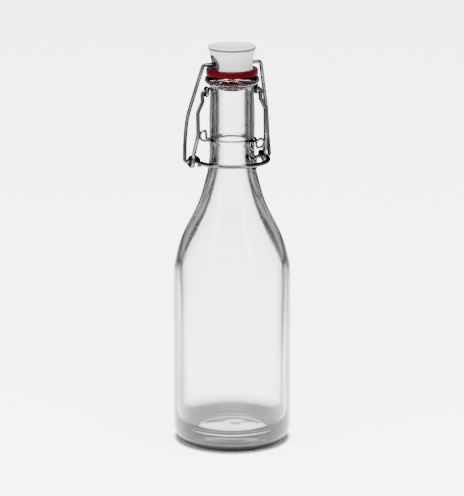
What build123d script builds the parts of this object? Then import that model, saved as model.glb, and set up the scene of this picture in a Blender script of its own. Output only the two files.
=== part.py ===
"""Swing top bottle: glass bottle, stopper, gasket and the wire closure that clamps them.

Millimetres, +Z up. The origin is the centre of the base on the surface it stands on.
The lever's thumb bar is at the front, on the -Y side. The hinge pins all lie along X.
"""
from build123d import *
from math import cos, radians, sin
import os

os.makedirs("parts", exist_ok=True)

# --- glass ---
body_radius = 30.25
body_top = 91.0
heel_height = 7.4
foot_inner_radius = 20.5
foot_outer_radius = 23.6
push_up_height = 3.4
floor_height = 7.6
wall_inner_radius = 27.2
bore_radius = 8.4
groove_height = 158.5
groove_radius = 11.1
lip_top = 192.0
lip_radius = 14.0

# --- stopper and gasket ---
gasket_seat_gap = 0.1
flange_radius = 13.3
flange_bottom = lip_top + gasket_seat_gap
flange_top = flange_bottom + 3.5
plug_bottom = 184.0
cap_bottom = flange_top
cap_top = 207.0
cap_waist_radius = 10.7
cap_top_radius = 12.3
stem_radius = 3.9
stem_bottom = 187.2
stem_clearance = 0.05

# --- wires ---
bail_wire = 2.1
lever_wire = 2.2
hanger_wire = 1.8
tie_wire = 1.3
running_fit = 0.06

# --- hinge axes, all parallel to X, as (y, z) ---
lever_pivot = (1.0, 184.0)
bail_pivot = (7.0, 147.0)
stopper_pivot = (0.0, 198.0)

# --- where the wires run ---
pin_end_x = 12.2
hanger_eye_x = 13.4
arm_top_x = 15.6
arm_x = 18.2
lever_eye_outer_x = 20.6
lever_eye_inner_x = 18.1
thumb_bar_radius = 18.6
thumb_bar_height = 148.4
bail_foot_x = 23.05
bail_tip_x = 15.2
bail_shoulder_x = 15.4


def bent_runs(corners, radii):
    """Straight runs between the corners, joined by round bends of the given radii."""
    corners = [Vector(*corner) for corner in corners]
    runs = []
    start = corners[0]
    for before, corner, after, radius in zip(corners, corners[1:], corners[2:], radii):
        back = (before - corner).normalized()
        ahead = (after - corner).normalized()
        half_angle = radians(back.get_angle(ahead)) / 2
        trim = radius * cos(half_angle) / sin(half_angle)
        middle = (back + ahead).normalized()
        apex = corner + middle * (radius / sin(half_angle) - radius)
        runs.append([start, corner + back * trim])
        runs.append([corner + back * trim, apex, corner + ahead * trim])
        start = corner + ahead * trim
    runs.append([start, corners[-1]])
    return runs


def mirrored(runs):
    """The same runs on the other side of the middle plane, in reverse order."""
    return [[Vector(-p.X, p.Y, p.Z) for p in reversed(run)] for run in reversed(runs)]


def add_wire(runs, diameter):
    """Add a round wire to the part being built.

    A run of two points is straight, one of three is an arc, and a longer one is a smooth curve.
    """
    with BuildLine() as path:
        for run in runs:
            if len(run) == 2:
                Line(*run)
            elif len(run) == 3:
                ThreePointArc(*run)
            else:
                Spline(*run, tangents=[run[1] - run[0], run[-1] - run[-2]])
    start = Plane(origin=path.line @ 0, z_dir=path.line % 0)
    with BuildSketch(start) as section:
        Circle(diameter / 2)
    sweep(sections=section.sketch, path=path.line)


# ---------------------------------------------------------------- bottle
outer_shoulder = [
    (body_radius, body_top),
    (28.9, 98.0),
    (27.4, 103.6),
    (25.4, 109.2),
    (22.6, 115.0),
    (19.4, 121.2),
    (16.6, 128.0),
    (14.0, 137.0),
    (12.55, 143.0),
    (11.8, 149.0),
    (11.6, 153.5),
]
inner_shoulder = [
    (wall_inner_radius, body_top - 1.0),
    (25.9, 97.2),
    (24.3, 102.2),
    (22.0, 107.6),
    (18.9, 113.6),
    (15.6, 120.0),
    (12.9, 126.8),
    (10.8, 134.5),
    (9.4, 141.5),
    (8.75, 148.0),
    (8.6, 154.0),
]
with BuildPart() as bottle:
    with BuildSketch(Plane.XZ):
        with BuildLine():
            # outside, from the middle of the base up to the mouth
            Spline(
                (0, push_up_height),
                (12.0, push_up_height - 0.7),
                (foot_inner_radius, 0),
                tangents=[(1, 0), (0.75, -0.65)],
            )
            Line((foot_inner_radius, 0), (foot_outer_radius, 0))
            Spline(
                (foot_outer_radius, 0),
                (28.4, 2.4),
                (body_radius, heel_height),
                tangents=[(1, 0.03), (0, 1)],
            )
            Line((body_radius, heel_height), (body_radius, body_top))
            Spline(*outer_shoulder, tangents=[(0, 1), (0, 1)])
            Line((11.6, 153.5), (11.6, groove_height - 2.2))
            ThreePointArc(
                (11.6, groove_height - 2.2),
                (groove_radius, groove_height),
                (11.65, groove_height + 2.2),
            )
            Spline(
                (11.65, groove_height + 2.2),
                (11.7, 171.0),
                (11.3, 182.0),
                (11.2, 186.6),
            )
            Line((11.2, 186.6), (13.2, 188.0))
            Spline(
                (13.2, 188.0),
                (lip_radius, 189.6),
                (13.2, 191.4),
                (11.2, lip_top),
                tangents=[(0.82, 0.57), (-1, 0)],
            )
            # inside, from the mouth down to the floor
            Line((11.2, lip_top), (9.6, lip_top))
            ThreePointArc((9.6, lip_top), (8.75, 191.65), (bore_radius, 190.8))
            Line((bore_radius, 190.8), (8.6, 154.0))
            Spline(*reversed(inner_shoulder), tangents=[(0, -1), (0, -1)])
            Line((wall_inner_radius, body_top - 1.0), (wall_inner_radius, 15.0))
            Spline(
                (wall_inner_radius, 15.0),
                (25.4, 9.9),
                (20.5, floor_height),
                tangents=[(0, -1), (-1, -0.04)],
            )
            Spline((20.5, floor_height), (10.0, 8.3), (0, 8.8), tangents=[(-1, 0), (-1, 0)])
            Line((0, 8.8), (0, push_up_height))
        make_face()
    revolve(axis=Axis.Z)
bottle.part.label = "bottle"
export_step(bottle.part, "parts/bottle.step")

# ---------------------------------------------------------------- stopper cap
recess_radius = 5.6
recess_floor_x = 9.0
dish_depth = 0.7
with BuildPart() as stopper_cap:
    with BuildSketch(Plane.XZ):
        with BuildLine():
            Line((0, stem_bottom), (stem_radius, stem_bottom))
            Line((stem_radius, stem_bottom), (stem_radius, cap_bottom))
            Line((stem_radius, cap_bottom), (10.9, cap_bottom))
            Spline(
                (10.9, cap_bottom),
                (cap_waist_radius, 198.6),
                (11.2, 202.6),
                (cap_top_radius, cap_top - 0.9),
                tangents=[(-0.25, 1), (0.35, 1)],
            )
            Spline(
                (cap_top_radius, cap_top - 0.9),
                (12.15, cap_top - 0.25),
                (11.5, cap_top),
                tangents=[(0.1, 1), (-1, 0)],
            )
            Line((11.5, cap_top), (10.2, cap_top - 0.15))
            Line((10.2, cap_top - 0.15), (9.2, cap_top - dish_depth))
            Line((9.2, cap_top - dish_depth), (0, cap_top - dish_depth))
            Line((0, cap_top - dish_depth), (0, stem_bottom))
        make_face()
    revolve(axis=Axis.Z)
    # the wire's cross hole
    with Locations((0, stopper_pivot[0], stopper_pivot[1])):
        Cylinder(
            bail_wire / 2 + running_fit,
            2 * cap_top_radius + 2,
            rotation=(0, 90, 0),
            mode=Mode.SUBTRACT,
        )
    # a recess at each side gives the wire room to turn
    for side in (1, -1):
        with Locations((side * (recess_floor_x + 5), 0, stopper_pivot[1] - 0.6)):
            Cylinder(recess_radius, 10, rotation=(0, 90, 0), mode=Mode.SUBTRACT)
stopper_cap.part.label = "stopper_cap"
export_step(stopper_cap.part, "parts/stopper_cap.step")

# ---------------------------------------------------------------- gasket
with BuildPart() as gasket:
    with BuildSketch(Plane.XZ):
        with BuildLine():
            Polyline(
                (stem_radius + stem_clearance, flange_top),
                (flange_radius - 0.3, flange_top),
                (flange_radius, flange_top - 0.3),
                (flange_radius, flange_top - 1.5),
                (flange_radius - 0.5, flange_top - 1.8),
                (flange_radius - 0.5, flange_top - 2.1),
                (flange_radius - 0.1, flange_top - 2.4),
                (flange_radius - 0.3, flange_bottom + 0.3),
                (flange_radius - 0.7, flange_bottom),
                (7.9, flange_bottom),
                (7.9, 190.2),
                (7.3, 189.6),
                (7.3, 189.1),
                (7.5, 188.7),
                (6.9, 186.6),
            )
            Spline(
                (6.9, 186.6),
                (5.9, 184.9),
                (3.6, plug_bottom),
                tangents=[(-0.25, -1), (-1, 0)],
            )
            Line((3.6, plug_bottom), (0, plug_bottom))
            Line((0, plug_bottom), (0, stem_bottom - stem_clearance))
            Line(
                (0, stem_bottom - stem_clearance),
                (stem_radius + stem_clearance, stem_bottom - stem_clearance),
            )
            Line(
                (stem_radius + stem_clearance, stem_bottom - stem_clearance),
                (stem_radius + stem_clearance, flange_top),
            )
        make_face()
    revolve(axis=Axis.Z)
gasket.part.label = "gasket"
export_step(gasket.part, "parts/gasket.step")

# ---------------------------------------------------------------- bail
bail_tip_drop = 3.0
bail_corners = [
    (bail_tip_x, bail_pivot[0], bail_pivot[1] - bail_tip_drop),
    (bail_tip_x, bail_pivot[0], bail_pivot[1]),
    (bail_foot_x, bail_pivot[0], bail_pivot[1]),
    (22.5, 8.4, 158.5),
    (21.5, 7.2, 170.5),
    (bail_shoulder_x, stopper_pivot[0], stopper_pivot[1]),
]
bail_radii = [1.2, 1.3, 60, 40, 2.0]
bail_corners += [(-x, y, z) for x, y, z in reversed(bail_corners)]
with BuildPart() as bail:
    add_wire(bent_runs(bail_corners, bail_radii + bail_radii[::-1]), bail_wire)
bail.part.label = "bail"
export_step(bail.part, "parts/bail.step")

# ---------------------------------------------------------------- lever
lever_eye_radius = bail_wire / 2 + running_fit + lever_wire / 2
eye_turn = 270
eye_front_y = bail_pivot[0] - lever_eye_radius


def eye_point(turn):
    """A point on the lever's eye, which starts at the front and runs under and up the back."""
    share = turn / eye_turn
    x = lever_eye_outer_x + (lever_eye_inner_x - lever_eye_outer_x) * share
    y = bail_pivot[0] - lever_eye_radius * cos(radians(turn))
    z = bail_pivot[1] - lever_eye_radius * sin(radians(turn))
    return Vector(x, y, z)


def bar_point(angle):
    """A point on the thumb bar, which runs round the front of the neck from side to side."""
    x = thumb_bar_radius * cos(radians(angle))
    y = -thumb_bar_radius * sin(radians(angle))
    return Vector(x, y, thumb_bar_height)


arm = bent_runs(
    [
        (pin_end_x, *lever_pivot),
        (arm_top_x, *lever_pivot),
        (arm_top_x, 0.8, 178.8),
        (arm_x, 0.5, 173.6),
        (arm_x, 0.0, 161.5),
        (20.1, 3.9, 151.5),
    ],
    radii=[1.5, 4, 4, 8],
)
eye = (
    [arm[-1][-1], Vector(20.45, 4.65, 149.4)]
    + [eye_point(turn) for turn in range(0, eye_turn + 1, 30)]
    + [Vector(18.2, 5.0, 149.1), Vector(18.45, 1.5, 148.7)]
    + [bar_point(5), bar_point(10)]
)
thumb_bar = [bar_point(10), bar_point(90), bar_point(170)]
with BuildPart() as lever:
    add_wire(arm + [eye, thumb_bar] + mirrored(arm + [eye]), lever_wire)
lever.part.label = "lever"
export_step(lever.part, "parts/lever.step")

# ---------------------------------------------------------------- neck hanger
hanger_radius = 12.4
hanger_eye_radius = lever_wire / 2 + running_fit + hanger_wire / 2


def hanger_point(angle):
    """A point on the hanger's arc behind the neck."""
    x = hanger_radius * cos(radians(angle))
    y = hanger_radius * sin(radians(angle))
    return Vector(x, y, lever_pivot[1])


hanger_side = [
    Vector(hanger_eye_x, lever_pivot[0] + hanger_eye_radius, lever_pivot[1]),
    Vector(13.1, 4.1, lever_pivot[1]),
    Vector(12.3, 5.3, lever_pivot[1]),
    hanger_point(32),
    hanger_point(38),
]
hanger_back = [hanger_point(38), hanger_point(90), hanger_point(142)]
with BuildPart() as neck_hanger:
    add_wire([hanger_side, hanger_back] + mirrored([hanger_side]), hanger_wire)
    for side in (1, -1):
        with Locations((side * hanger_eye_x, *lever_pivot)):
            Torus(hanger_eye_radius, hanger_wire / 2, rotation=(0, 90, 0))
neck_hanger.part.label = "neck_hanger"
export_step(neck_hanger.part, "parts/neck_hanger.step")

# ---------------------------------------------------------------- neck tie
tie_radius = groove_radius + 0.25 + tie_wire / 2
ear_inner_x = 13.3
ear_outer_x = 16.0
ear_height = 4.6
tail_angle = 24
tail_distance = 13.7
tail_length = 10.0
tail_half_width = 0.75


def ear_corners(side):
    """A side loop in the XZ plane: it stands up on the -X side and hangs down on the +X side."""
    far_z = groove_height - side * ear_height
    near_z = groove_height - side * 1.7
    return [
        (side * (tie_radius - 0.2), 1.0, groove_height),
        (side * ear_outer_x, 1.0, groove_height),
        (side * ear_outer_x, 1.0, far_z),
        (side * ear_inner_x, 1.0, far_z),
        (side * ear_inner_x, 1.0, near_z),
    ]


def tail_point(distance, offset, z):
    """A point this far out from the neck's axis at the tail, and this far to its side."""
    x = distance * sin(radians(tail_angle)) + offset * cos(radians(tail_angle))
    y = -distance * cos(radians(tail_angle)) + offset * sin(radians(tail_angle))
    return (x, y, z)


tail_corners = [
    tail_point(tie_radius, -tail_half_width, groove_height),
    tail_point(tail_distance, -tail_half_width, groove_height),
    tail_point(tail_distance, -tail_half_width, groove_height - tail_length),
    tail_point(tail_distance, tail_half_width, groove_height - tail_length),
    tail_point(tail_distance, tail_half_width, groove_height),
    tail_point(tie_radius, tail_half_width, groove_height),
]
with BuildPart() as neck_tie:
    with Locations((0, 0, groove_height)):
        Torus(tie_radius, tie_wire / 2)
    for side in (1, -1):
        add_wire(bent_runs(ear_corners(side), [0.9, 1.2, 1.2]), tie_wire)
    add_wire(bent_runs(tail_corners, [0.9, 0.74, 0.74, 0.9]), tie_wire)
neck_tie.part.label = "neck_tie"
export_step(neck_tie.part, "parts/neck_tie.step")
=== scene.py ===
"""Swing top bottle: the looks of the glass, stopper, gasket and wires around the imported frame."""
import math

import bmesh
import bpy
from mathutils import Matrix, Vector


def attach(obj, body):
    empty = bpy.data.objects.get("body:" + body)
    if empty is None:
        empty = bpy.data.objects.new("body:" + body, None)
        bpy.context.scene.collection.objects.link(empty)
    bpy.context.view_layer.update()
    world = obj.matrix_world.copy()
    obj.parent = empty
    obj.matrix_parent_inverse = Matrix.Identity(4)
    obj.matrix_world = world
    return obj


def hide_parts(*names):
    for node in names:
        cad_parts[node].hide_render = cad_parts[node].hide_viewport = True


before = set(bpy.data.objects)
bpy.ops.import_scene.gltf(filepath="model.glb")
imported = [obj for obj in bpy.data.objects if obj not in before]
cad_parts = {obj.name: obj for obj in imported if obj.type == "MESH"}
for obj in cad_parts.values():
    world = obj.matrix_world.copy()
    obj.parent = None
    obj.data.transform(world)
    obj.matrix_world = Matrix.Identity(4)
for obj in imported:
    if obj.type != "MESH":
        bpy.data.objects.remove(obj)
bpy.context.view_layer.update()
MM = 0.001


# ------------------------------------------------------------------ shapes
def smooth_line(points, per_span=8):
    """A smooth line through the points, as a Catmull-Rom curve."""
    ends = [2 * Vector(points[0]) - Vector(points[1])]
    ends += [Vector(p) for p in points]
    ends += [2 * Vector(points[-1]) - Vector(points[-2])]
    line = []
    for a, b, c, d in zip(ends, ends[1:], ends[2:], ends[3:]):
        for i in range(per_span):
            t = i / per_span
            line.append(
                0.5
                * (
                    2 * b
                    + (c - a) * t
                    + (2 * a - 5 * b + 4 * c - d) * t * t
                    + (3 * b - a - 3 * c + d) * t * t * t
                )
            )
    line.append(Vector(points[-1]))
    return line


def arc(centre, radius, start, end, count):
    """Points on an arc in the profile plane, angles in degrees."""
    points = []
    for i in range(count + 1):
        a = math.radians(start + (end - start) * i / count)
        points.append((centre[0] + radius * math.cos(a), centre[1] + radius * math.sin(a)))
    return points


def straight(start, end, count):
    """Evenly spaced points from start to end."""
    start = Vector(start)
    end = Vector(end)
    return [start + (end - start) * i / count for i in range(count + 1)]


def without_repeats(points):
    """The profile without the points where one stretch starts on the end of another."""
    same_place = 1e-4
    kept = [Vector(points[0])]
    for p in points[1:]:
        if (Vector(p) - kept[-1]).length > same_place:
            kept.append(Vector(p))
    return kept


def round_ring(bm, centre, side, other, radius, count):
    """The vertices of a circle in the plane of the two directions."""
    ring = []
    for i in range(count):
        a = 2 * math.pi * i / count
        ring.append(bm.verts.new(centre + radius * (side * math.cos(a) + other * math.sin(a))))
    return ring


def turned(name, profile, segments):
    """A closed solid of revolution about Z. The profile is in millimetres, from axis to axis."""
    on_axis = 1e-3
    x_way = Vector((1, 0, 0))
    y_way = Vector((0, 1, 0))
    bm = bmesh.new()
    rings = []
    for p in without_repeats(profile):
        centre = Vector((0, 0, p.y * MM))
        if p.x < on_axis:
            rings.append([bm.verts.new(centre)])
        else:
            rings.append(round_ring(bm, centre, x_way, y_way, p.x * MM, segments))
    for low, high in zip(rings, rings[1:]):
        for i in range(segments):
            j = (i + 1) % segments
            if len(low) == 1:
                bm.faces.new((low[0], high[j], high[i]))
            elif len(high) == 1:
                bm.faces.new((low[i], low[j], high[0]))
            else:
                bm.faces.new((low[i], low[j], high[j], high[i]))
    bmesh.ops.recalc_face_normals(bm, faces=bm.faces)
    return mesh_object(name, bm)


def tube(bm, path, radius, sides=16):
    """Adds a round wire along the path, all in millimetres, with rounded ends."""
    path = [Vector(p) * MM for p in path]
    radius *= MM
    along = [(b - a).normalized() for a, b in zip(path, path[1:])]
    tangents = [along[0]]
    tangents += [(a + b).normalized() for a, b in zip(along, along[1:])]
    tangents.append(along[-1])
    side = tangents[0].orthogonal().normalized()
    rings = []
    for point, tangent in zip(path, tangents):
        side = (side - tangent * side.dot(tangent)).normalized()
        rings.append((point, side, tangent.cross(side), radius))
    # the rings of a rounded end, as shares of the radius: how wide, and how far out
    rounding = [(0.87, 0.5), (0.5, 0.87), (0.2, 0.98)]
    first = rings[0]
    last = rings[-1]
    for width, out in rounding:
        point = path[0] - tangents[0] * radius * out
        rings.insert(0, (point, first[1], first[2], radius * width))
        point = path[-1] + tangents[-1] * radius * out
        rings.append((point, last[1], last[2], radius * width))
    loops = [round_ring(bm, *ring, sides) for ring in rings]
    for low, high in zip(loops, loops[1:]):
        for i in range(sides):
            j = (i + 1) % sides
            bm.faces.new((low[i], low[j], high[j], high[i]))
    bm.faces.new(loops[0])
    bm.faces.new(loops[-1])


def mesh_object(name, bm):
    """Puts the built mesh in the scene as a smooth shaded object."""
    mesh = bpy.data.meshes.new(name)
    bm.to_mesh(mesh)
    bm.free()
    mesh.shade_smooth()
    return in_scene(name, mesh)


def in_scene(name, data):
    """A new object with the data, linked to the scene."""
    obj = bpy.data.objects.new(name, data)
    bpy.context.scene.collection.objects.link(obj)
    return obj


# ------------------------------------------------------------------ materials
def grey(level):
    """A grey colour."""
    return (level, level, level)


class Nodes:
    """A new material, and short calls that build its nodes."""

    def __init__(self, name):
        self.material = bpy.data.materials.new(name)
        self.material.use_nodes = True
        self.tree = self.material.node_tree
        self.shader = self.tree.nodes["Principled BSDF"]

    def set(self, **values):
        """Sets the shader's own inputs, named with _ for a space."""
        for key, value in values.items():
            self.shader.inputs[key.replace("_", " ")].default_value = value

    def link(self, socket, name):
        """Drives one of the shader's inputs by a socket."""
        self.tree.links.new(socket, self.shader.inputs[name])

    def fill(self, node, inputs):
        """Gives each of the node's inputs a value, or a link from a socket."""
        for key, value in inputs.items():
            if isinstance(value, bpy.types.NodeSocket):
                self.tree.links.new(value, node.inputs[key])
            else:
                node.inputs[key].default_value = value

    def add(self, kind, inputs, **settings):
        """A new node with its settings and inputs."""
        node = self.tree.nodes.new(kind)
        for key, value in settings.items():
            setattr(node, key, value)
        self.fill(node, inputs)
        return node

    def absorb(self, colour, density):
        """Fills the solid with a clear medium that absorbs a little light."""
        medium = self.add(
            "ShaderNodeVolumeAbsorption", {"Color": (*colour, 1), "Density": density}
        )
        output = self.tree.nodes["Material Output"]
        self.tree.links.new(medium.outputs["Volume"], output.inputs["Volume"])

    def where(self, scale=(1, 1, 1)):
        """Object coordinates stretched by scale."""
        place = self.add("ShaderNodeTexCoord", {}).outputs["Object"]
        return self.add("ShaderNodeMapping", {"Vector": place, "Scale": scale}).outputs["Vector"]

    def parts(self, vector):
        """The X, Y and Z of a vector."""
        return self.add("ShaderNodeSeparateXYZ", {"Vector": vector}).outputs

    def length(self, vector):
        """The length of a vector."""
        node = self.add("ShaderNodeVectorMath", {0: vector}, operation="LENGTH")
        return node.outputs["Value"]

    def from_axis(self, place):
        """The distance from the bottle's axis."""
        flat = self.add("ShaderNodeVectorMath", {0: place, 1: (1, 1, 0)}, operation="MULTIPLY")
        return self.length(flat.outputs["Vector"])

    def math(self, operation, *values):
        """The result of one operation on numbers or sockets."""
        node = self.add("ShaderNodeMath", dict(enumerate(values)), operation=operation)
        return node.outputs["Value"]

    def between(self, value, limits, at_limits=(0.0, 1.0), **settings):
        """Goes from one result to the other as the value goes from limit to limit."""
        inputs = dict(zip(("From Min", "From Max", "To Min", "To Max"), (*limits, *at_limits)))
        node = self.add("ShaderNodeMapRange", {"Value": value, **inputs}, **settings)
        return node.outputs["Result"]

    def spread(self, noise, low, high):
        """Maps noise from 0..1 to low..high."""
        return self.between(noise, (0.0, 1.0), (low, high))

    def ramp(self, factor, stops):
        """A colour for the factor, from the place and colour of each stop."""
        node = self.add("ShaderNodeValToRGB", {"Fac": factor})
        elements = node.color_ramp.elements
        while len(elements) < len(stops):
            elements.new(0.5)
        for element, (place, colour) in zip(elements, stops):
            element.position = place
            element.color = (*colour, 1)
        return node.outputs["Color"]

    def mix_numbers(self, factor, one, other):
        """Goes from one number to the other as the factor goes from 0 to 1."""
        node = self.add("ShaderNodeMix", {0: factor, 2: one, 3: other}, data_type="FLOAT")
        return node.outputs[0]

    def mix(self, factor, one, other, blend="MIX"):
        """Mixes or blends two colours, each a colour with alpha or a socket."""
        node = self.add("ShaderNodeMix", {}, data_type="RGBA", blend_type=blend)
        key = {socket.identifier: i for i, socket in enumerate(node.inputs)}
        self.fill(
            node, {key["Factor_Float"]: factor, key["A_Color"]: one, key["B_Color"]: other}
        )
        return next(o for o in node.outputs if o.identifier == "Result_Color")

    def noise(self, vector, size, detail):
        """Cloudy noise about 0.5."""
        inputs = {"Vector": vector, "Scale": size, "Detail": detail}
        return self.add("ShaderNodeTexNoise", inputs).outputs["Fac"]

    def bump(self, height, strength, distance, **under):
        """A bumpy normal, over another one if that is given as Normal."""
        inputs = {"Height": height, "Strength": strength, "Distance": distance, **under}
        return self.add("ShaderNodeBump", inputs).outputs["Normal"]


# heights on the bottle where the look of the glass changes, in metres
HEEL_TOP = (0.0105, 0.0165)
SHOULDER = (0.116, 0.148)
UNDER_LIP = (0.184, 0.187)
# distances from the axis, in metres
EDGE_OF_CLEAR_FLOOR = (0.0190, 0.0225)
BEND_OF_HEEL = (0.018, 0.031)


def clear_glass():
    """Glass that is clear face on, with painted shade where its wall is at a slant or thick."""
    m = Nodes("clear_glass")
    m.set(Transmission_Weight=1.0, IOR=1.5)
    # gentle waves of moulded glass, much longer up the bottle than round it
    waves = m.noise(m.where((1, 1, 0.16)), 75, 1.5)
    ripple = m.noise(m.where(), 420, 2.0)
    wavy = m.bump(waves, 0.35, 0.0008)
    m.link(m.bump(ripple, 0.04, 0.0002, Normal=wavy), "Normal")
    m.link(m.spread(ripple, 0.0, 0.02), "Roughness")
    # Painted shade: the colour goes dark where the wall is seen at a slant, standing in for the
    # dark edges of glass, where light also goes a longer way through it. The wall is thick for its
    # radius in the neck and thin in the body, so the darkening starts earlier up there.
    slant = m.add("ShaderNodeLayerWeight", {"Blend": 0.5, "Normal": wavy}).outputs["Facing"]
    place = m.where()
    height = m.parts(place)["Z"]
    radius = m.from_axis(place)
    wall_start = m.between(height, SHOULDER, (0.65, 0.35))
    later_at_lip = m.between(height, UNDER_LIP, (0.0, 0.34))
    upper_start = m.math("ADD", wall_start, later_at_lip)
    # The painted shade starts earlier on the heel, which is thick all round, and hardly at all in
    # the middle of the floor, which is clear.
    heel_start = m.between(radius, EDGE_OF_CLEAR_FLOOR, (0.9, 0.30))
    above_heel = m.between(height, HEEL_TOP)
    start = m.mix_numbers(above_heel, heel_start, upper_start)
    past_start = m.math("SUBTRACT", slant, start)
    # the start of the painted shade is at 0.5 on the ramp
    painted_edge_shade = m.ramp(
        m.math("ADD", past_start, 0.5),
        [
            (0.20, (0.985, 0.99, 0.99)),
            (0.40, (0.60, 0.61, 0.62)),
            (0.50, (0.06, 0.062, 0.064)),
            (0.58, grey(0.004)),
        ],
    )
    # A painted dark ring of shade at the bend from floor to wall, where the glass is thickest.
    painted_heel_ring = m.ramp(
        m.between(radius, BEND_OF_HEEL),
        [(0.28, grey(1)), (0.40, grey(0)), (0.62, grey(0.0002)), (0.80, grey(0.5))],
    )
    # the painted ring only below the top of the heel, darkening the base colour together with the
    # painted edge shade
    ring = m.mix(above_heel, painted_heel_ring, (1, 1, 1, 1))
    m.link(m.mix(1.0, painted_edge_shade, ring, "MULTIPLY"), "Base Color")
    m.absorb((0.50, 0.54, 0.53), 60.0)
    return m.material


# places on the stopper, in metres: heights, distances from the axis and from a socket's middle
UNDER_RIM = (0.2046, 0.2072)
SIDE_NOT_DISH = (0.0110, 0.0114)
SOCKET_HEIGHT = 0.1974
SOCKET_EDGE = (0.0045, 0.0066)


def white_plastic():
    """White plastic with a painted line of shade under the rim and painted shade over the sockets.
    """
    m = Nodes("white_plastic")
    place = m.where()
    cloud = m.noise(place, 160, 3)
    white = m.ramp(cloud, [(0.3, (0.80, 0.815, 0.835)), (0.7, (0.88, 0.89, 0.90))])
    # a thin line of painted shade on the side, just under the rolled top rim
    line = m.ramp(
        m.between(m.parts(place)["Z"], UNDER_RIM),
        [(0.22, grey(0)), (0.38, grey(1)), (0.70, grey(1)), (0.86, grey(0))],
    )
    outside = m.between(m.from_axis(place), SIDE_NOT_DISH, (0.0, 0.95))
    painted_rim_shade = m.math("MULTIPLY", line, outside)
    # and painted shade over each socket that the bail's end turns in, darkest in a line round its
    # edge
    socket_place = m.add(
        "ShaderNodeMapping",
        {"Vector": place, "Location": (0, 0, -SOCKET_HEIGHT), "Scale": (0, 1, 1)},
    )
    from_socket = m.length(socket_place.outputs["Vector"])
    painted_socket_shade = m.ramp(
        m.between(from_socket, SOCKET_EDGE),
        [(0.38, grey(0.93)), (0.50, grey(0.97)), (0.68, grey(0.97)), (0.82, grey(0))],
    )
    # the darker of the two painted shades, which takes the white towards near black
    dark = m.math("MAXIMUM", painted_rim_shade, painted_socket_shade)
    m.link(m.mix(dark, white, (0.03, 0.034, 0.04, 1)), "Base Color")
    m.set(Coat_Weight=0.3, Coat_Roughness=0.08)
    grain = m.noise(place, 1400, 2)
    m.link(m.spread(grain, 0.22, 0.36), "Roughness")
    m.link(m.bump(grain, 0.12, 0.00006), "Normal")
    return m.material


def red_rubber():
    """Deep red rubber with a fine grain."""
    m = Nodes("red_rubber")
    cloud = m.noise(m.where(), 240, 3)
    red = m.ramp(cloud, [(0.3, (0.045, 0.0, 0.0016)), (0.72, (0.078, 0.0, 0.0030))])
    m.link(red, "Base Color")
    grain = m.noise(m.where(), 1900, 2)
    m.link(m.spread(grain, 0.24, 0.42), "Roughness")
    m.set(Specular_IOR_Level=0.06)
    m.link(m.bump(grain, 0.2, 0.00008), "Normal")
    return m.material


def steel_wire():
    """Dark drawn steel, with the marks of drawing along its upright lengths."""
    m = Nodes("steel_wire")
    drawn = m.noise(m.where((1, 1, 0.12)), 1500, 2)
    patch = m.noise(m.where(), 130, 2)
    steel = m.ramp(patch, [(0.3, (0.085, 0.085, 0.09)), (0.75, (0.15, 0.15, 0.155))])
    m.link(steel, "Base Color")
    m.link(m.spread(drawn, 0.10, 0.26), "Roughness")
    m.set(Metallic=1.0, Specular_Tint=(0.15, 0.15, 0.16, 1))
    m.link(m.bump(drawn, 0.15, 0.00005), "Normal")
    return m.material


GLASS = clear_glass()
PLASTIC = white_plastic()
RUBBER = red_rubber()
STEEL = steel_wire()


def paint(obj, material):
    """Gives the object this material only."""
    obj.data.materials.clear()
    obj.data.materials.append(material)


# ------------------------------------------------------------------ bottle
# profiles are (distance from the axis, height) in millimetres
# the body's radius is a little under the CAD's, whose flat facets set the box it stays inside
BODY = 30.22
INNER_BODY = 27.2
GLASS_SEGMENTS = 256

base = smooth_line([(0, 3.4), (6, 3.25), (12, 2.6), (17, 1.35), (19.6, 0.35), (20.9, 0.02)])
heel = smooth_line([(23.2, 0.0), (25.6, 0.62), (28.0, 2.15), (29.6, 4.4), (BODY, 7.4)])
wall = straight((BODY, 7.4), (BODY, 90.0), 24)
# the shoulder, the neck with its groove, and the lip
shoulder = smooth_line(
    [
        (BODY, 90.0),
        (29.9, 93.5),
        (28.9, 98.0),
        (27.4, 103.6),
        (25.4, 109.2),
        (22.6, 115.0),
        (19.4, 121.2),
        (16.6, 128.0),
        (14.0, 137.0),
        (12.55, 143.0),
        (11.8, 149.0),
        (11.6, 153.5),
        (11.6, 155.9),
        (11.45, 156.9),
        (11.1, 158.5),
        (11.5, 160.1),
        (11.65, 161.2),
        (11.7, 171.0),
        (11.4, 180.0),
        (11.2, 185.4),
        (11.35, 186.7),
        (13.0, 187.8),
        (13.8, 188.6),
        (14.0, 189.6),
        (13.8, 190.6),
        (13.0, 191.5),
        (11.4, 191.98),
        (9.9, 191.98),
    ]
)
mouth = arc((9.6, 190.8), 1.2, 90, 180, 8)
bore = straight((8.4, 190.8), (8.6, 154.0), 12)
inside = smooth_line(
    [
        (8.6, 154.0),
        (8.75, 148.0),
        (9.4, 141.5),
        (10.8, 134.5),
        (12.9, 126.8),
        (15.6, 120.0),
        (18.9, 113.6),
        (22.0, 107.6),
        (24.3, 102.2),
        (25.9, 97.2),
        (26.9, 93.0),
        (INNER_BODY, 89.0),
    ]
)
inner_wall = straight((INNER_BODY, 89.0), (INNER_BODY, 15.2), 22)
floor_curve = smooth_line(
    [(INNER_BODY, 15.2), (26.7, 12.2), (24.6, 9.2), (20.5, 7.75), (14, 7.95), (7, 8.5), (0, 8.8)]
)
glass = turned(
    "bottle_glass",
    base + heel + wall + shoulder + mouth + bore + inside + inner_wall + floor_curve,
    GLASS_SEGMENTS,
)
paint(glass, GLASS)
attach(glass, "bottle_body")
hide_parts("bottle")

# ------------------------------------------------------------------ gasket
# a flange pressed on the lip and a soft plug that fills the mouth and narrows below it
GASKET_SEGMENTS = 160

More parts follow.
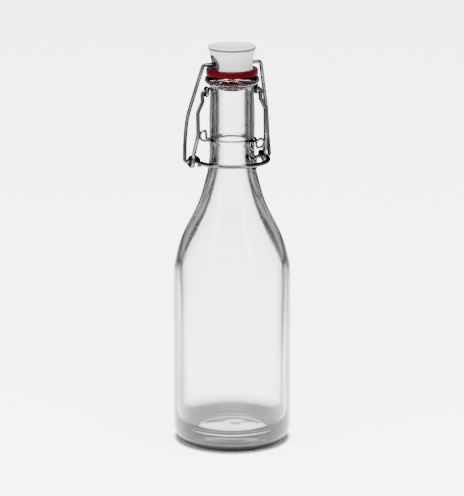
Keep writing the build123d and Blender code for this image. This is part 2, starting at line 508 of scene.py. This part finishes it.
flange = [(0, 195.55), (12.6, 195.55)]
flange += arc((12.6, 194.9), 0.65, 90, 0, 6)
flange += arc((12.7, 192.75), 0.55, 0, -90, 6)
seat = smooth_line([(12.2, 192.1), (9.9, 191.96), (8.75, 191.4), (8.43, 190.6), (8.42, 189.0)])
plug = smooth_line(
    [(8.3, 188.0), (7.9, 186.6), (7.0, 185.3), (5.4, 184.5), (3.6, 184.2), (0, 184.1)]
)
gasket = turned("gasket_rubber", flange + seat + plug, GASKET_SEGMENTS)
paint(gasket, RUBBER)
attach(gasket, "stopper")
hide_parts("gasket")

# ------------------------------------------------------------------ wire tied round the neck
# millimetres, and degrees round the neck from the front towards +X
TIE_RADIUS = 0.68
TIE_RING = 12.0
TIE_HEIGHT = 158.5
RING_ANGLES = range(24, 277, 4)
RING_SIDES = 18
TAIL_ANGLE = 26
TAIL_TOP = 158.6
TAIL_BOTTOM = 147.2
TAIL_RING = 13.9
TAIL_TURNS = 1.75
STRAND_AT_TOP = 0.75
STRAND_AT_BOTTOM = 1.25
TAIL_STEPS = 60
CURL_RING = 15.2
CURL_HEIGHT = 147.4
CURL_RADIUS = 2.2
CURL_ANGLE = 9.0
CURL_ANGLES = range(-210, 95, 8)
LOOP_OUT = 15.0
LOOP_UP = 3.0
LOOP_RADIUS = 2.35
LOOP_HALF = 120
LOOP_SLANT = 0.9
LOOP_SMOOTHING = 5


def round_neck(angle, radius=TIE_RING, height=TIE_HEIGHT):
    """A point round the neck."""
    t = math.radians(angle)
    return (radius * math.sin(t), -radius * math.cos(t), height)


def tail_strand(phase):
    """One strand of the twisted pair that hangs down at the right front."""
    t = math.radians(TAIL_ANGLE)
    outward = Vector((math.sin(t), -math.cos(t), 0))
    sideways = Vector((math.cos(t), math.sin(t), 0))
    points = []
    for i in range(TAIL_STEPS + 1):
        share = i / TAIL_STEPS
        turn = phase + 2 * math.pi * TAIL_TURNS * share
        size = STRAND_AT_TOP + (STRAND_AT_BOTTOM - STRAND_AT_TOP) * share
        height = TAIL_TOP + (TAIL_BOTTOM - TAIL_TOP) * share
        points.append(
            outward * (TAIL_RING + size * math.cos(turn))
            + sideways * size * math.sin(turn)
            + Vector((0, 0, height))
        )
    return points


def tail_curl():
    """The open curl at the end of the tail."""
    points = []
    for degrees in CURL_ANGLES:
        a = math.radians(degrees)
        angle = TAIL_ANGLE + CURL_ANGLE * math.cos(a)
        points.append(round_neck(angle, CURL_RING, CURL_HEIGHT + CURL_RADIUS * math.sin(a)))
    return points


def side_loop(side, rise):
    """A loop of the tie that stands out at one side of the neck, up or down."""
    # it leaves the ring, goes round and comes back to the ring, a little further to the front
    loop = [(TIE_RING, LOOP_SLANT, 0), (13.3, 1.0, rise * 0.8)]
    for degrees in range(-LOOP_HALF, LOOP_HALF + 1, 30):
        a = math.radians(degrees)
        across = LOOP_OUT + LOOP_RADIUS * math.cos(a)
        up = rise * LOOP_UP + LOOP_RADIUS * math.sin(-a * rise)
        loop.append((across, -LOOP_SLANT * degrees / LOOP_HALF, up))
    loop += [(13.3, -1.0, rise * 1.4), (TIE_RING, -LOOP_SLANT, 0)]
    return smooth_line([(side * x, y, TIE_HEIGHT + z) for x, y, z in loop], LOOP_SMOOTHING)


tie_mesh = bmesh.new()
tube(tie_mesh, [round_neck(angle) for angle in RING_ANGLES], TIE_RADIUS, RING_SIDES)
tube(tie_mesh, tail_strand(0), TIE_RADIUS)
tube(tie_mesh, tail_strand(math.pi), TIE_RADIUS)
tube(tie_mesh, tail_curl(), TIE_RADIUS)
tube(tie_mesh, side_loop(-1, 1), TIE_RADIUS)
tube(tie_mesh, side_loop(1, -1), TIE_RADIUS)
bmesh.ops.recalc_face_normals(tie_mesh, faces=tie_mesh.faces)
tie = mesh_object("neck_tie_wire", tie_mesh)
paint(tie, STEEL)
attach(tie, "bottle_body")
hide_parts("neck_tie")

# ------------------------------------------------------------------ lever
# the middle of the lever's eye on the right, in metres, and how far the turn reaches from it
EYE = Vector((0.0193, 0.007, 0.147))
EYE_REACH = 0.0037
EYE_FADE = 0.0042
EYE_TURN = math.radians(28)


def turned_eyes(node):
    """A copy of the lever whose eyes face a little to the front, as hand-bent wire does."""
    mesh = node.data.copy()
    mesh.name = "lever_wire"
    for vertex in mesh.vertices:
        side = 1 if vertex.co.x > 0 else -1
        centre = Vector((side * EYE.x, EYE.y, EYE.z))
        away = (vertex.co - centre).length
        share = min(1.0, max(0.0, 1.0 - (away - EYE_REACH) / EYE_FADE))
        smooth_share = share * share * (3 - 2 * share)
        turn = Matrix.Rotation(side * -EYE_TURN * smooth_share, 3, "Z")
        vertex.co = centre + turn @ (vertex.co - centre)
    return in_scene("lever_wire", mesh)


lever = turned_eyes(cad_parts["lever"])
paint(lever, STEEL)
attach(lever, "lever")
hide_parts("lever")

# ------------------------------------------------------------------ CAD nodes that stay
paint(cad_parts["stopper_cap"], PLASTIC)
for name in ("bail", "neck_hanger"):
    paint(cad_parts[name], STEEL)

# ------------------------------------------------------------------ floor, light and camera
# degrees and metres
AZIMUTH = -20.0
ELEVATION = 14.5
DISTANCE = 1.5
AIM = Vector((0, 0, 0.1015))
LENS = 212
LAMP_AIM = Vector((0, 0, 0.1))
FLOOR_RADIUS = 6.0
FLOOR_GLOW = 4.8
# the lit wedge of the floor: half its width at the bottle, and how it widens further back
WEDGE_EDGE = (0.15, 0.26)
WEDGE_WIDENING = 0.085
WEDGE_SHIFT = 0.03
WEDGE_FRONT = (-0.24, -0.13)
UNDER_HEEL = (0.018, 0.032)


def floor_paper():
    """Matt pale paper with a slight tooth, lit from below where the camera looks over it."""
    m = Nodes("floor_paper")
    tooth = m.noise(m.where(), 900, 2)
    m.link(m.ramp(tooth, [(0.3, grey(0.80)), (0.7, grey(0.84))]), "Base Color")
    m.set(Roughness=0.85, Specular_IOR_Level=0.1, Emission_Color=(1, 1, 1, 1))
    place = m.where()
    # X runs to the right and Y away from the camera
    turned_back = m.add(
        "ShaderNodeMapping", {"Vector": place, "Rotation": (0, 0, -math.radians(AZIMUTH))}
    )
    seen = m.parts(turned_back.outputs["Vector"])
    # the lit wedge lies a little to the left, so the glass's right edges come out darker
    from_middle = m.math("ABSOLUTE", m.math("ADD", seen["X"], WEDGE_SHIFT))
    widening = m.math("MULTIPLY", seen["Y"], WEDGE_WIDENING)
    within = m.between(
        m.math("SUBTRACT", from_middle, widening),
        WEDGE_EDGE,
        (1.0, 0.0),
        interpolation_type="SMOOTHSTEP",
    )
    behind_front = m.between(seen["Y"], WEDGE_FRONT, interpolation_type="SMOOTHSTEP")
    glow = m.math("MULTIPLY", m.math("MULTIPLY", within, behind_front), FLOOR_GLOW)
    # the shade under the round of the heel, between the standing ring and the open floor
    shade = m.ramp(
        m.between(m.from_axis(place), UNDER_HEEL),
        [(0.10, grey(1)), (0.24, grey(0)), (0.80, grey(0)), (0.96, grey(1))],
    )
    m.link(m.math("MULTIPLY", glow, shade), "Emission Strength")
    return m.material


def look_from(obj, aim, azimuth, elevation, distance):
    """Puts the object round the aim, azimuth 0 in front and 90 at +X, and faces it there."""
    a = math.radians(azimuth)
    e = math.radians(elevation)
    way = Vector((math.sin(a) * math.cos(e), -math.cos(a) * math.cos(e), math.sin(e)))
    obj.location = aim + distance * way
    obj.rotation_euler = (-way).to_track_quat("-Z", "Y").to_euler()


def soft_light(name, azimuth, elevation, distance, size, power):
    """A large rectangular lamp that faces the bottle, its power in watts."""
    lamp = bpy.data.lights.new(name, "AREA")
    lamp.shape = "RECTANGLE"
    lamp.size, lamp.size_y = size
    lamp.energy = power
    look_from(in_scene(name, lamp), LAMP_AIM, azimuth, elevation, distance)


def round_floor():
    """A wide pale floor all round the bottle."""
    bm = bmesh.new()
    bmesh.ops.create_circle(bm, cap_ends=True, segments=64, radius=FLOOR_RADIUS)
    floor = mesh_object("floor", bm)
    paint(floor, floor_paper())


def studio_world():
    """Pale walls near the horizon, and a dark ceiling."""
    world = bpy.data.worlds.new("studio")
    world.use_nodes = True
    sky = world.node_tree
    place = sky.nodes.new("ShaderNodeTexCoord")
    parts = sky.nodes.new("ShaderNodeSeparateXYZ")
    fade = sky.nodes.new("ShaderNodeValToRGB")
    background = sky.nodes["Background"]
    sky.links.new(place.outputs["Generated"], parts.inputs["Vector"])
    sky.links.new(parts.outputs["Z"], fade.inputs["Fac"])
    sky.links.new(fade.outputs["Color"], background.inputs["Color"])
    walls, ceiling = fade.color_ramp.elements
    walls.position = 0.12
    walls.color = (*grey(0.95), 1)
    ceiling.position = 0.3
    ceiling.color = (*grey(0.02), 1)
    background.inputs["Strength"].default_value = 0.8
    bpy.context.scene.world = world


round_floor()
# each lamp's azimuth, elevation, distance, width and height, and power
soft_light("top", AZIMUTH, 78, 1.2, (0.8, 0.8), 34)
soft_light("left", AZIMUTH - 50, 30, 1.3, (0.3, 1.0), 9)
soft_light("right", AZIMUTH + 40, 36, 1.4, (0.3, 1.0), 9)
studio_world()

camera_data = bpy.data.cameras.new("camera")
camera_data.lens = LENS
camera = in_scene("camera", camera_data)
look_from(camera, AIM, AZIMUTH, ELEVATION, DISTANCE)
bpy.context.scene.camera = camera
